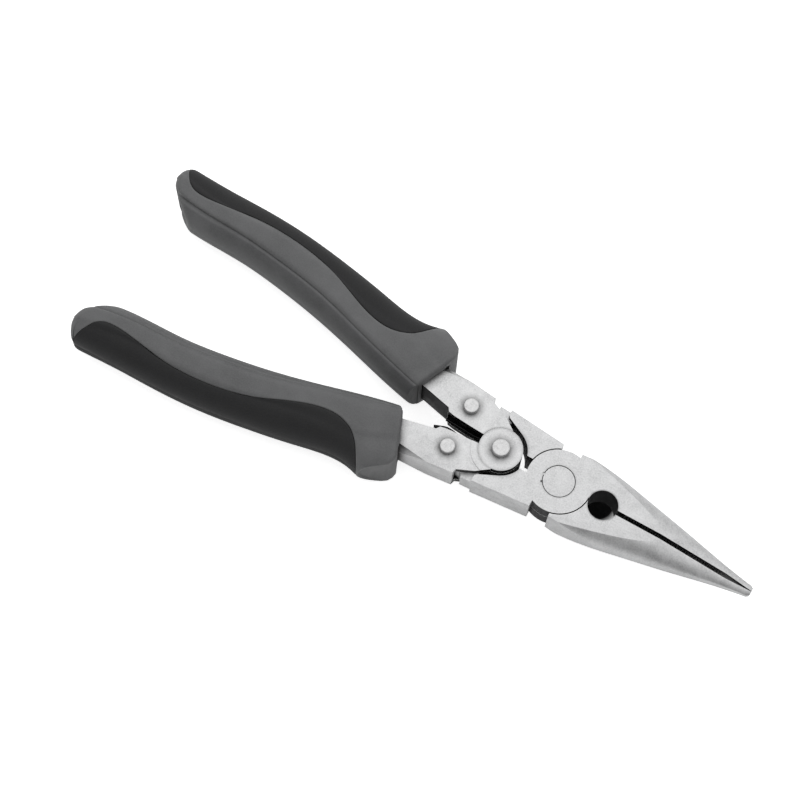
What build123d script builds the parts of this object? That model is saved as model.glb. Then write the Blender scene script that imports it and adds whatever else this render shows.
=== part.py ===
from build123d import *
import math
import os

# Compound-action long nose pliers, lying flat, in millimetres. While drawing, the jaw pivot is the origin,
# +X runs to the nose tip, +Y to the upper handle and +Z up. Every piece is drawn once and its partner is
# the same piece turned over about the X axis, as the two forgings are in the real tool.

# jaws
jaw_half = 6.0
disc_r = 10.3
disc_gap = 0.35
lap_gap = 0.1
rivet_r = 5.2
rivet_play = 0.17
rivet_chamfer = 0.3
punch_r = 0.45
punch_depth = 0.3
hole_x = 15.3
hole_r = 4.75
gap_half = 0.75
gap_start_x = 19.9
gap_end_x = 58.0
tip_gap_half = 0.06
tip_x = 67.0
tip_y = 1.9
tip_round = 0.8
shoulder_x = 2.3
shoulder_y = 11.3
nose_side = [(8.0, 11.75), (13.0, 11.65), (18.0, 11.25), (23.0, 10.65), (28.0, 9.8)]
cone_start_y = 15.54
cone_end_y = 1.75
cone_flatness = 0.72
cone_end_x = 67.4

# jaw tails and the tongues that enter the handles
tail_root_x = -4.2
tail_root_y = 11.4
tail_end_x = -23.5
tail_end_y = 13.2
tail_inner_y = 2.4
tail_inner_x = -16.5
tail_inner_top_y = 7.5
tail_lip = (-22.9, 10.6)
tail_lip_round_y = 11.3
hub_clear_r = 8.4
tongue_half = 3.7
tongue_root_x = -21.5
tongue_root_top_y = 12.95
tongue_root_low_y = 10.1
tongue_stop_x = -27.2
tongue_stop_y = 13.3
tongue_notch = (-27.4, 12.1)
neck_top = (-28.4, 11.55)
eye_r = 3.9
neck_low = (-33.2, 4.15)

# pins
link_x = -35.0
link_y = 7.6
link_r = 2.0
link_head_r = 2.45
link_head_h = 1.8
centre_x = -20.4
centre_r = 2.4
centre_head_r = 2.85
centre_head_h = 2.0
rear_head_h = 0.9
head_chamfer = 0.35
running_play = 0.05
head_play = 0.1

# handles
plate_half = 6.2
outer_ear_z = 3.95
inner_ear_top_z = 3.85
inner_ear_low_z = 1.75
hub_r = 7.0
hub_recess_r = 7.1
hub_step_r = 9.4
hub_step_h = 0.25
slot_end_x = -41.0
web_end_x = -29.7
web_inner_y = 12.6
plate_inner = [(-60.0, 8.3), (-41.0, 4.0), (-40.2, 2.8), (-38.0, 2.4), (-32.5, 2.0), (-27.0, 1.7)]
plate_outer = [(-20.0, 7.3), (-24.1, 10.2), (-26.8, 11.4), (-29.3, 12.5), (-29.7, 14.0), (-38.0, 14.9),
               (-48.0, 16.0), (-60.0, 17.2)]
edge_bevel = [(-49.0, 13.8, 6.2), (-49.0, 16.2, 3.4), (-37.5, 15.0, 6.2)]
bevel_box = 40.0
tang_half = 4.0
tang_plan = [(-59.0, 8.9), (-75.0, 13.4), (-95.0, 19.6), (-120.0, 23.4), (-146.0, 24.6),
             (-146.0, 29.0), (-119.0, 29.6), (-95.0, 26.6), (-75.0, 21.0), (-59.0, 16.4)]

# return spring and its spacer
wire_r = 0.55
coil_r = 3.6
coil_pitch = 1.25
leg_angle = 105.0
leg_bend_x = -29.3
leg_bend_y = 1.3
upper_leg_end = (-40.4, 1.9)
lower_leg_end = (-42.7, -1.35)
spacer_r = 2.8
spacer_half = 1.7

# grips: x, inner wall at mid height, inner ridge, outer shoulder, outer wall at mid height
grip_sections = [
    (-162.0, 21.5, 25.5, 31.5, 35.2),
    (-151.0, 18.4, 22.6, 29.6, 34.9),
    (-140.0, 17.2, 21.2, 27.6, 34.7),
    (-125.0, 16.7, 20.5, 28.0, 34.4),
    (-110.0, 14.9, 18.7, 27.4, 33.4),
    (-94.0, 11.9, 15.8, 24.6, 31.2),
    (-78.0, 8.0, 11.1, 20.4, 28.3),
    (-67.0, 5.0, 7.9, 19.4, 26.0),
    (-60.0, 3.3, 6.0, 18.9, 26.2),
    (-52.0, 1.8, 4.0, 15.6, 30.6),
    (-43.0, 0.9, 2.6, 12.0, 33.5),
]
grip_half = 10.0
crest_rise = 10.5
ridge_z = 8.9
shoulder_z = 9.1
inner_bulge = (0.22, 5.2)
outer_bulge = (0.74, 6.6)
grip_front = [(-54.8, -9.0), (-54.8, 1.7), (-52.5, 3.9), (-46.4, 19.3), (-47.4, 22.6), (-56.4, 28.4),
              (-60.0, 36.0)]
grip_back = [(-155.0, 48.0), (-157.4, 36.0), (-158.5, 31.5), (-157.9, 26.5), (-155.2, 22.0), (-150.6, 18.0),
             (-144.0, 13.0), (-137.0, -9.0)]
seam = [(-153.9, 33.6), (-150.4, 28.4), (-145.6, 26.1), (-138.0, 26.5), (-125.4, 28.1), (-116.0, 28.2),
        (-103.0, 26.6), (-94.0, 24.2), (-82.7, 19.4), (-75.5, 17.0), (-70.0, 16.4), (-64.8, 17.6),
        (-60.0, 21.4), (-56.2, 27.6)]
seam_outside = [(-54.0, 40.0), (-166.0, 40.0), (-166.0, 33.0)]
skin = 2.4
core_end_x = -154.5
cut_height = 30.0

# the finished tool rests on its grips, centred over the origin
shift_x = 45.75
shift_z = grip_half


def slab(face, low, high):
    return Pos(0, 0, low) * extrude(face, high - low)


def plate(points, low, high):
    return slab(make_face(Polyline(*points, close=True)), low, high)


def disc(x, y, radius, low, high):
    return Pos(x, y, low) * Cylinder(radius, high - low, align=(Align.CENTER, Align.CENTER, Align.MIN))


def turned_over(shape):
    return Rot(180, 0, 0) * shape


def mirrored_points(points):
    return [(x, -y) for x, y in points]


def nose():
    side = Spline((shoulder_x, shoulder_y), *nose_side, (tip_x - tip_round, tip_y))
    tip = Polyline(
        side @ 1,
        (tip_x, tip_y - tip_round),
        (tip_x, tip_gap_half),
        (gap_end_x, gap_half),
        (gap_start_x, gap_half),
        (gap_start_x, 0),
        (shoulder_x, 0),
        side @ 0,
    )
    blank = slab(make_face([side, tip]), -jaw_half, jaw_half)
    start = Plane(origin=(0, 0, 0), x_dir=(0, 1, 0), z_dir=(1, 0, 0))
    end = Plane(origin=(cone_end_x, 0, 0), x_dir=(0, 1, 0), z_dir=(1, 0, 0))
    start_oval = start * Ellipse(cone_start_y, cone_start_y * cone_flatness)
    end_oval = end * Ellipse(cone_end_y, cone_end_y * cone_flatness)
    cone = loft([start_oval, end_oval], ruled=True)
    return (blank & cone) - disc(hole_x, 0, hole_r, -jaw_half, jaw_half)


def tail():
    outline = [
        (tail_root_x, tail_inner_y),
        (tail_root_x, tail_root_y),
        (tail_end_x, tail_end_y),
        (tail_end_x, tail_lip_round_y),
        tail_lip,
        (tail_inner_x, tail_inner_top_y),
        (tail_inner_x, tail_inner_y),
    ]
    full = plate(mirrored_points(outline), -jaw_half, jaw_half)
    full -= disc(centre_x, 0, hub_clear_r, -jaw_half, jaw_half)
    tongue_outline = [
        (tongue_root_x, tongue_root_low_y),
        (tongue_root_x, tongue_root_top_y),
        (tongue_stop_x, tongue_stop_y),
        tongue_notch,
        neck_top,
        (link_x, link_y + eye_r),
        (link_x, link_y),
        neck_low,
    ]
    tongue = plate(mirrored_points(tongue_outline), -tongue_half, tongue_half)
    tongue += disc(link_x, -link_y, eye_r, -tongue_half, tongue_half)
    tongue -= disc(link_x, -link_y, link_r + running_play, -tongue_half, tongue_half)
    return full + tongue


def jaw(bore_r):
    lap = lap_gap / 2
    body = nose() + tail()
    body -= disc(0, 0, disc_r + disc_gap, -jaw_half, lap)
    body += disc(0, 0, disc_r, lap, jaw_half)
    body -= disc(hole_x, 0, hole_r, -jaw_half, jaw_half)
    return body - disc(0, 0, bore_r, -jaw_half, jaw_half)


def jaw_rivet():
    body = disc(0, 0, rivet_r, -jaw_half, jaw_half)
    return chamfer(body.edges().filter_by(GeomType.CIRCLE), rivet_chamfer)


def pin(x, y, shank_r, head_r, seat_z, head_h, rear_z):
    shank = disc(x, y, shank_r, rear_z, seat_z)
    head = disc(x, y, head_r, seat_z, seat_z + head_h)
    head = chamfer(head.edges().filter_by(GeomType.CIRCLE).sort_by(Axis.Z)[-1], head_chamfer)
    rear = disc(x, y, head_r, rear_z - rear_head_h, rear_z)
    rear = chamfer(rear.edges().filter_by(GeomType.CIRCLE).sort_by(Axis.Z)[0], head_chamfer)
    return shank + head + rear


def outer_disc_ear(outline):
    ear = plate(outline, outer_ear_z, plate_half)
    ear += disc(centre_x, 0, hub_r, outer_ear_z, plate_half)
    step_top = plate_half + hub_step_h
    raised = disc(centre_x, 0, hub_step_r, plate_half, step_top) & plate(outline, plate_half, step_top)
    raised += disc(centre_x, 0, hub_r, plate_half, step_top)
    return ear + raised


def inner_disc_ear(outline):
    ear = plate(outline, outer_ear_z, plate_half) - disc(centre_x, 0, hub_recess_r, outer_ear_z, plate_half)
    low = plate(outline, inner_ear_low_z, outer_ear_z)
    low &= disc(centre_x, 0, hub_step_r, inner_ear_low_z, outer_ear_z)
    low += disc(centre_x, 0, hub_r, inner_ear_low_z, outer_ear_z)
    low -= disc(centre_x, 0, hub_recess_r, inner_ear_top_z, outer_ear_z)
    return ear + low


def bevel_cut():
    corner, low, far = [Vector(*p) for p in edge_bevel]
    normal = (far - corner).cross(low - corner).normalized()
    outwards = normal if normal.Y > 0 else normal * -1
    face = Plane(origin=corner, z_dir=outwards)
    return face * Box(bevel_box, bevel_box, bevel_box, align=(Align.CENTER, Align.CENTER, Align.MIN))


def handle_steel(centre_play_front, centre_play_rear):
    outline = plate_inner + [(centre_x, 0)] + plate_outer
    front = inner_disc_ear(outline)
    rear = mirror(outer_disc_ear(outline), Plane.XY)
    full = plate(outline, -plate_half, plate_half)
    slot_outline = [
        (slot_end_x, -hub_r),
        (slot_end_x, web_inner_y),
        (web_end_x, web_inner_y),
        (web_end_x, cut_height),
        (0, cut_height),
        (0, -hub_r),
    ]
    slot = plate(slot_outline, -plate_half, plate_half)
    body = (full - slot) + front + rear
    bevel = bevel_cut()
    body = body - bevel - mirror(bevel, Plane.XY)
    body += plate(tang_plan, -tang_half, tang_half)
    body -= disc(link_x, link_y, link_r, -cut_height, cut_height)
    body -= disc(centre_x, 0, centre_r + centre_play_front, 0, cut_height)
    return body - disc(centre_x, 0, centre_r + centre_play_rear, -cut_height, 0)


def rod(start, end, radius):
    line = Vector(*end) - Vector(*start)
    upright = Cylinder(radius, line.length, align=(Align.CENTER, Align.CENTER, Align.MIN))
    return Plane(origin=start, z_dir=line) * upright


def spring_leg(side, z, leg_end):
    angle = math.radians(leg_angle)
    leave = (centre_x + coil_r * math.cos(angle), side * coil_r * math.sin(angle), z)
    bend = (leg_bend_x, side * leg_bend_y, z)
    end = (*leg_end, z)
    leg = rod(leave, bend, wire_r) + rod(bend, end, wire_r)
    for joint in (leave, bend, end):
        leg += Pos(*joint) * Sphere(wire_r)
    return leg


def return_spring():
    turns = 1 + 2 * leg_angle / 360
    top_z = turns * coil_pitch / 2
    line = Pos(centre_x, 0, -top_z) * Rot(0, 0, -leg_angle) * Helix(coil_pitch, turns * coil_pitch, coil_r)
    section = Plane(origin=line @ 0, z_dir=line % 0) * Circle(wire_r)
    coil = sweep(section, path=line, is_frenet=True)
    return coil + spring_leg(1, top_z, upper_leg_end) + spring_leg(-1, -top_z, lower_leg_end)


def spacer():
    tube = disc(centre_x, 0, spacer_r, -spacer_half, spacer_half)
    return tube - disc(centre_x, 0, centre_r + running_play, -spacer_half, spacer_half)


def grip_section(x, inset):
    row = [r for r in grip_sections if r[0] == x][0]
    inner, ridge, shoulder, outer = row[1] + inset, row[2] + inset / 2, row[3] - inset / 2, row[4] - inset
    bulge_in = (inner + inner_bulge[0] * (ridge - inner), inner_bulge[1] - inset / 2)
    bulge_out = (shoulder + outer_bulge[0] * (outer - shoulder), outer_bulge[1] - inset / 2)
    top = ((ridge + shoulder) / 2, crest_rise - inset)
    a = (inner, 0)
    b = (ridge, ridge_z - inset)
    c = (shoulder, shoulder_z - inset)
    d = (outer, 0)
    upper = [
        ThreePointArc(a, bulge_in, b),
        ThreePointArc(b, top, c),
        ThreePointArc(c, bulge_out, d),
    ]
    lower = [
        ThreePointArc(d, (bulge_out[0], -bulge_out[1]), (c[0], -c[1])),
        ThreePointArc((c[0], -c[1]), (top[0], -top[1]), (b[0], -b[1])),
        ThreePointArc((b[0], -b[1]), (bulge_in[0], -bulge_in[1]), a),
    ]
    return Plane(origin=(x, 0, 0), x_dir=(0, 1, 0), z_dir=(1, 0, 0)) * make_face(upper + lower)


def grip_blank(inset):
    blank = loft([grip_section(row[0], inset) for row in grip_sections])
    mask = plate(grip_front + grip_back, -grip_half + inset, grip_half - inset)
    return blank & mask


def grip_pieces(steel):
    outside = grip_blank(0)
    seam_line = Spline(*seam)
    rest = Polyline(seam_line @ 1, *seam_outside, seam_line @ 0)
    region = slab(make_face([seam_line, rest]), -cut_height, cut_height)
    core = grip_blank(skin) & Pos(core_end_x, 0, 0) * Box(
        -core_end_x * 2, cut_height * 4, cut_height * 2, align=(Align.MIN, Align.CENTER, Align.CENTER)
    )
    inlay = (outside & region) - core
    return outside - inlay - steel, inlay


def save(name, shape):
    placed = Pos(shift_x, 0, shift_z) * shape
    export_step(placed, f"parts/{name}.step")


os.makedirs("parts", exist_ok=True)

# the upper nose's disc is in front; its rivet is fixed in it and turns in the other jaw
front_jaw = jaw(rivet_r)
punch = disc(-rivet_r, 0, punch_r, jaw_half - punch_depth, jaw_half)
save("jaw_front", front_jaw - punch)
save("jaw_rear", turned_over(jaw(rivet_r + rivet_play)))
save("jaw_rivet", jaw_rivet() - punch)

# the centre pin is fixed in the lower handle and turns in the upper one
upper_steel = handle_steel(running_play, running_play)
lower_steel = turned_over(handle_steel(0, 0))
save("handle_upper", upper_steel)
save("handle_lower", lower_steel)

link_rear_z = -plate_half
save("link_pin_upper", pin(link_x, link_y, link_r, link_head_r, plate_half, link_head_h, link_rear_z))
save("link_pin_lower", pin(link_x, -link_y, link_r, link_head_r, plate_half, link_head_h, link_rear_z))
hub_top = plate_half + hub_step_h
save("centre_pin", pin(centre_x, 0, centre_r, centre_head_r, hub_top, centre_head_h, -hub_top - head_play))
save("centre_spacer", spacer())
save("return_spring", return_spring())

grip_body, grip_inlay = grip_pieces(handle_steel(0, 0))
save("grip_upper", grip_body)
save("grip_inlay_upper", grip_inlay)
save("grip_lower", turned_over(grip_body))
save("grip_inlay_lower", turned_over(grip_inlay))
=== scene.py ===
import math

import bmesh
import bpy
import numpy as np
from mathutils import Matrix, Vector, noise


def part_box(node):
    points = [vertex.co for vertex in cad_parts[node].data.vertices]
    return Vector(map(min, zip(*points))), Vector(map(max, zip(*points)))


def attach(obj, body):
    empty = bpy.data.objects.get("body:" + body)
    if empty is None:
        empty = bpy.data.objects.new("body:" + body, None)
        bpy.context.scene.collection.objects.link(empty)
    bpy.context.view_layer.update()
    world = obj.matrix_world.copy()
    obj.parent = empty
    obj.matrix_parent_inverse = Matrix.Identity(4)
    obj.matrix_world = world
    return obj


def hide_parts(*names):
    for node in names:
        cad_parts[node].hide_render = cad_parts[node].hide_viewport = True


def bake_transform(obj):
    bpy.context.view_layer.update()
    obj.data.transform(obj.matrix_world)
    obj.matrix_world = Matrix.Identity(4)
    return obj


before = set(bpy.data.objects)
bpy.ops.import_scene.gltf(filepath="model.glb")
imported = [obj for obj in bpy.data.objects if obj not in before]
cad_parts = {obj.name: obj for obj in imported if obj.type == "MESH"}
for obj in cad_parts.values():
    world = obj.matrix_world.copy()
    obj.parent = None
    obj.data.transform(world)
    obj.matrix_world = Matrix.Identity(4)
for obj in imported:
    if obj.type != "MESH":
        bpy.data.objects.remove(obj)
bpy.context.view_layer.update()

# Sizes are in millimetres from the jaw pivot: +x to the tip, +y to the upper handle, +z up.
rivetLow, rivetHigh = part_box("jaw_rivet")
jawPivot = (rivetLow + rivetHigh) / 2
toFrame = Matrix.Translation(jawPivot) @ Matrix.Scale(0.001, 4)
turnOver = Matrix.Rotation(math.pi, 4, "X")
print("frame loaded, jaw pivot at", tuple(round(v, 5) for v in jawPivot))


def addObject(name, data):
    item = bpy.data.objects.new(name, data)
    bpy.context.scene.collection.objects.link(item)
    return item


def addPiece(name, mesh, *materials):
    piece = addObject(name, mesh)
    for material in materials:
        mesh.materials.append(material)
    return piece


def settle(piece):
    # the evaluated result becomes a plain mesh and the modifiers go
    depsgraph = bpy.context.evaluated_depsgraph_get()
    plain = bpy.data.meshes.new_from_object(piece.evaluated_get(depsgraph), depsgraph=depsgraph)
    piece.modifiers.clear()
    piece.data = plain
    return piece


def smoothFaces(mesh, sharpDegrees):
    mesh.polygons.foreach_set("use_smooth", [True] * len(mesh.polygons))
    mesh.set_sharp_from_angle(angle=math.radians(sharpDegrees))
    mesh.update()


def cleanMesh(mesh, gap):
    work = bmesh.new()
    work.from_mesh(mesh)
    bmesh.ops.remove_doubles(work, verts=work.verts, dist=gap)
    bmesh.ops.dissolve_degenerate(work, edges=work.edges, dist=gap)
    bmesh.ops.recalc_face_normals(work, faces=work.faces)
    work.to_mesh(mesh)
    work.free()


def buildMesh(name, verts, faces, gap):
    mesh = bpy.data.meshes.new(name)
    mesh.from_pydata(verts, [], faces)
    cleanMesh(mesh, gap)
    return mesh


def ringFaces(rows, count):
    # the skin between neighbouring closed rings of count points each
    faces = []
    for s in range(rows - 1):
        for j in range(count):
            k = (j + 1) % count
            faces.append((s * count + j, s * count + k, (s + 1) * count + k, (s + 1) * count + j))
    return faces


def prismMesh(name, outline, low, high):
    # the outline's x, y pairs drawn out from z low to z high
    count = len(outline)
    verts = [(x, y, low) for x, y in outline] + [(x, y, high) for x, y in outline]
    faces = [tuple(range(count)), tuple(range(count, 2 * count))]
    faces += [(i, (i + 1) % count, count + (i + 1) % count, count + i) for i in range(count)]
    return buildMesh(name, verts, faces, 1e-5)


def finishPiece(piece, body, slotName, *nodes):
    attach(piece, body)
    if nodes:
        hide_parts(*nodes)
    print("made", piece.name, "with", len(piece.data.polygons), "faces")
    return piece


def newGroup(name, vectors, numbers, outputs):
    tree = bpy.data.node_groups.new(name, "ShaderNodeTree")
    for label in vectors:
        tree.interface.new_socket(name=label, in_out="INPUT", socket_type="NodeSocketVector")
    for label, value in numbers.items():
        socket = tree.interface.new_socket(name=label, in_out="INPUT", socket_type="NodeSocketFloat")
        socket.default_value = value
    for label in outputs:
        tree.interface.new_socket(name=label, in_out="OUTPUT", socket_type="NodeSocketFloat")
    return tree, tree.nodes.new("NodeGroupInput"), tree.nodes.new("NodeGroupOutput")


def feed(tree, node, inputs):
    # a plain value is set on its socket, an output is linked to it
    for key, item in dict(inputs).items():
        if isinstance(item, (int, float, tuple)):
            node.inputs[key].default_value = item
        else:
            tree.links.new(item, node.inputs[key])


def addNode(tree, kind, inputs=(), **settings):
    node = tree.nodes.new(kind)
    for key, value in settings.items():
        setattr(node, key, value)
    feed(tree, node, inputs)
    return node


def addNoise(tree, vector, scale, detail, roughness):
    inputs = {"Vector": vector, "Scale": scale, "Detail": detail, "Roughness": roughness}
    return addNode(tree, "ShaderNodeTexNoise", inputs).outputs["Fac"]


def addMath(tree, operation, *items, clamp=False):
    return addNode(tree, "ShaderNodeMath", enumerate(items), operation=operation, use_clamp=clamp).outputs[0]


def addVectorMath(tree, operation, *items):
    return addNode(tree, "ShaderNodeVectorMath", enumerate(items), operation=operation).outputs


def addRange(tree, value, low, high, outLow, outHigh):
    inputs = {"Value": value, "From Min": low, "From Max": high, "To Min": outLow, "To Max": outHigh}
    return addNode(tree, "ShaderNodeMapRange", inputs).outputs["Result"]


def addColourMix(tree, factor, first, second):
    # the colour sockets of the mix node are its inputs 6 and 7 and its output 2
    first, second = (item + (1.0,) if isinstance(item, tuple) else item for item in (first, second))
    return addNode(tree, "ShaderNodeMix", {0: factor, 6: first, 7: second}, data_type="RGBA").outputs[2]


# a noise is its scale, detail and roughness; a cut is where a noise begins to count and where it counts in full
noiseShape = {
    "fine": (3.0, 0.62), "coarse": (2.0, 0.5), "coarseShare": 0.31, "heightMix": (0.65, 0.35),
    "patch": (5.0, 0.68), "patchCut": (0.3, 0.7), "speckleCut": (0.35, 0.65),
    "hairLines": ((0.35, 60.0), (-0.9, 45.0)), "hairAcross": 2600.0, "hairNoise": (1.0, 1.0, 0.4),
    "hairCut": (0.70, 0.78),
    "breaks": (160.0, 2.0, 0.5), "breaksCut": (0.48, 0.62),
    "chips": (420.0, 4.0, 0.6), "chipsCut": (0.35, 0.6), "leastChip": 0.35,
    "shadeAndMark": (700.0, 3.0, 0.55), "shadeAndMarkCut": (0.3, 0.7), "shadeAndMarkRange": (0.7, 1.15), "shadeAndMarkFall": 1.6,
}


def makeGrainGroup():
    # fine grain for the bump, with a slow drift of tone over the surface
    shape = noiseShape
    tree, entry, leave = newGroup(
        "surfaceGrain", ["Vector"], {"Grain Scale": 2600.0, "Patch Scale": 120.0}, ["Height", "Tone", "Speckle"])
    vector, scale = entry.outputs["Vector"], entry.outputs["Grain Scale"]
    fine = addNoise(tree, vector, scale, *shape["fine"])
    coarse = addNoise(tree, vector, addMath(tree, "MULTIPLY", scale, shape["coarseShare"]), *shape["coarse"])
    parts = [addMath(tree, "MULTIPLY", item, share) for item, share in zip((fine, coarse), shape["heightMix"])]
    patch = addNoise(tree, vector, entry.outputs["Patch Scale"], *shape["patch"])
    feed(tree, leave, {
        "Height": addMath(tree, "ADD", *parts),
        "Tone": addRange(tree, patch, *shape["patchCut"], 0.0, 1.0),
        "Speckle": addRange(tree, fine, *shape["speckleCut"], 0.0, 1.0),
    })
    return tree


def makeScratchGroup():
    # thin hairlines in two directions, broken up by a slow noise
    shape = noiseShape
    tree, entry, leave = newGroup("hairScratches", ["Vector"], {"Density": 0.5}, ["Mask"])
    vector = entry.outputs["Vector"]
    masks = []
    for turn, stretch in shape["hairLines"]:
        place = addNode(tree, "ShaderNodeMapping", {
            "Vector": vector, "Rotation": (0.0, 0.0, turn), "Scale": (stretch, shape["hairAcross"], stretch)})
        lines = addNoise(tree, place.outputs["Vector"], *shape["hairNoise"])
        masks.append(addRange(tree, lines, *shape["hairCut"], 0.0, 1.0))
    both = addMath(tree, "MAXIMUM", *masks)
    breaks = addRange(tree, addNoise(tree, vector, *shape["breaks"]), *shape["breaksCut"], 0.0, 1.0)
    broken = addMath(tree, "MULTIPLY", both, breaks)
    feed(tree, leave, {"Mask": addMath(tree, "MULTIPLY", broken, entry.outputs["Density"], clamp=True)})
    return tree


def makeEdgeGroup():
    # the edge mark stored on the mesh, rubbed wear with a painted highlight, broken up so that a rubbed edge isn't
    # a ruled line
    shape = noiseShape
    tree, entry, leave = newGroup("edgeRubHighlight", ["Vector"], {"Edge": 0.0, "Amount": 1.0}, ["Mask"])
    chipNoise = addNoise(tree, entry.outputs["Vector"], *shape["chips"])
    chips = addRange(tree, chipNoise, *shape["chipsCut"], shape["leastChip"], 1.0)
    rubbedAndLit = addMath(tree, "MULTIPLY", entry.outputs["Edge"], chips)
    feed(tree, leave, {"Mask": addMath(tree, "MULTIPLY", rubbedAndLit, entry.outputs["Amount"], clamp=True)})
    return tree


def makeShadeGroup():
    # a ring of painted shade round a pin, a hub or a grip's front, broken up by noise; a ring of radius nought
    # paints the punch mark's dark dot
    shape = noiseShape
    tree, entry, leave = newGroup(
        "contactShade", ["Vector", "Centre"], {"Radius": 0.002, "Reach": 0.001, "Amount": 0.5}, ["Mask"])
    vector = entry.outputs["Vector"]
    offset = addVectorMath(tree, "SUBTRACT", vector, entry.outputs["Centre"])["Vector"]
    level = addVectorMath(tree, "MULTIPLY", offset, (1.0, 1.0, 0.0))["Vector"]
    distance = addVectorMath(tree, "LENGTH", level)["Value"]
    away = addMath(tree, "ABSOLUTE", addMath(tree, "SUBTRACT", distance, entry.outputs["Radius"]))
    near = addMath(tree, "SUBTRACT", 1.0, addMath(tree, "DIVIDE", away, entry.outputs["Reach"]), clamp=True)
    uneven = addRange(tree, addNoise(tree, vector, *shape["shadeAndMark"]), *shape["shadeAndMarkCut"], *shape["shadeAndMarkRange"])
    shade = addMath(tree, "MULTIPLY", addMath(tree, "POWER", near, shape["shadeAndMarkFall"]), uneven)
    feed(tree, leave, {"Mask": addMath(tree, "MULTIPLY", shade, entry.outputs["Amount"], clamp=True)})
    return tree


grainGroup = makeGrainGroup()
scratchGroup = makeScratchGroup()
edgeGroup = makeEdgeGroup()
shadeGroup = makeShadeGroup()


def placeGroup(tree, group, vector, **values):
    inputs = {label.replace("_", " "): value for label, value in values.items()}
    return addNode(tree, "ShaderNodeGroup", dict(inputs, Vector=vector), node_tree=group)


def newMaterial(name):
    material = bpy.data.materials.new(name)
    material.use_nodes = True
    tree = material.node_tree
    return material, tree, tree.nodes["Principled BSDF"], addNode(tree, "ShaderNodeTexCoord").outputs["Object"]


def addBump(tree, height, look):
    inputs = {"Distance": look["grainDepth"], "Strength": look["grainStrength"], "Height": height}
    return addNode(tree, "ShaderNodeBump", inputs).outputs["Normal"]


# how much smoother a scratch and a rubbed edge are, how deep a scratch cuts, how much it lightens plastic
wear = {"scratchShine": 0.12, "rubShine": 0.14, "scratchDepth": 0.3, "scuff": 0.5, "sheenRoughness": 0.6}


def surfaceStart(tree, vector, look):
    # what steel and plastic share: grain height, scratch mask, speckled tone and roughness
    grain = placeGroup(tree, grainGroup, vector, Grain_Scale=look["grainScale"], Patch_Scale=look["patchScale"])
    scratch = placeGroup(tree, scratchGroup, vector, Density=look["scratches"])
    base = addColourMix(tree, grain.outputs["Tone"], look["dark"], look["light"])
    speckle = addMath(tree, "MULTIPLY", grain.outputs["Speckle"], look["speckle"])
    tone = addColourMix(tree, speckle, base, look["glint"])
    rough = addRange(tree, grain.outputs["Tone"], 0.0, 1.0, *look["roughness"])
    return grain.outputs["Height"], scratch.outputs["Mask"], tone, rough


def smoother(tree, rough, mask, shine):
    return addMath(tree, "SUBTRACT", rough, addMath(tree, "MULTIPLY", mask, shine))


def steelFinish(name, look):
    material, tree, shader, vector = newMaterial(name)
    height, scratch, tone, rough = surfaceStart(tree, vector, look)
    colour = addColourMix(tree, scratch, tone, look["scratchColour"])
    # rings of painted shade round pins, hubs, the rivet, the rod hole and the grips' fronts darken the colour, as
    # does the punch mark's dot
    for x, y, radius, reach, amount in look.get("rings", []):
        centre = tuple(toFrame @ Vector((x, y, 0.0)))
        ring = placeGroup(
            tree, shadeGroup, vector, Centre=centre, Radius=radius / 1000, Reach=reach / 1000, Amount=amount)
        colour = addColourMix(tree, ring.outputs["Mask"], colour, look["shadeAndMark"])
    cut = addMath(tree, "MULTIPLY", scratch, wear["scratchDepth"])
    feed(tree, shader, {
        "Base Color": colour, "Metallic": 1.0,
        "Roughness": smoother(tree, rough, scratch, wear["scratchShine"]),
        "Normal": addBump(tree, addMath(tree, "SUBTRACT", height, cut), look),
    })
    return material


def mouldedFinish(name, look):
    material, tree, shader, vector = newMaterial(name)
    height, scratch, tone, rough = surfaceStart(tree, vector, look)
    # convex edges are lightened: rubbed wear together with a painted highlight
    rubHighlightMark = addNode(tree, "ShaderNodeAttribute", attribute_name="rubHighlight").outputs["Fac"]
    edge = placeGroup(tree, edgeGroup, vector, Edge=rubHighlightMark, Amount=look["edgeAmount"]).outputs["Mask"]
    rubbedAndLit = addColourMix(tree, edge, tone, look["rubHighlightColour"])
    scuff = addMath(tree, "MULTIPLY", scratch, wear["scuff"])
    feed(tree, shader, {
        "Base Color": addColourMix(tree, scuff, rubbedAndLit, look["rubHighlightColour"]),
        "Roughness": smoother(tree, rough, edge, wear["rubShine"]),
        "Specular IOR Level": look["specular"],
        "Sheen Weight": look["sheen"], "Sheen Roughness": wear["sheenRoughness"],
        "Normal": addBump(tree, height, look),
    })
    return material


def grey(value):
    return (value, value, value)


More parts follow.
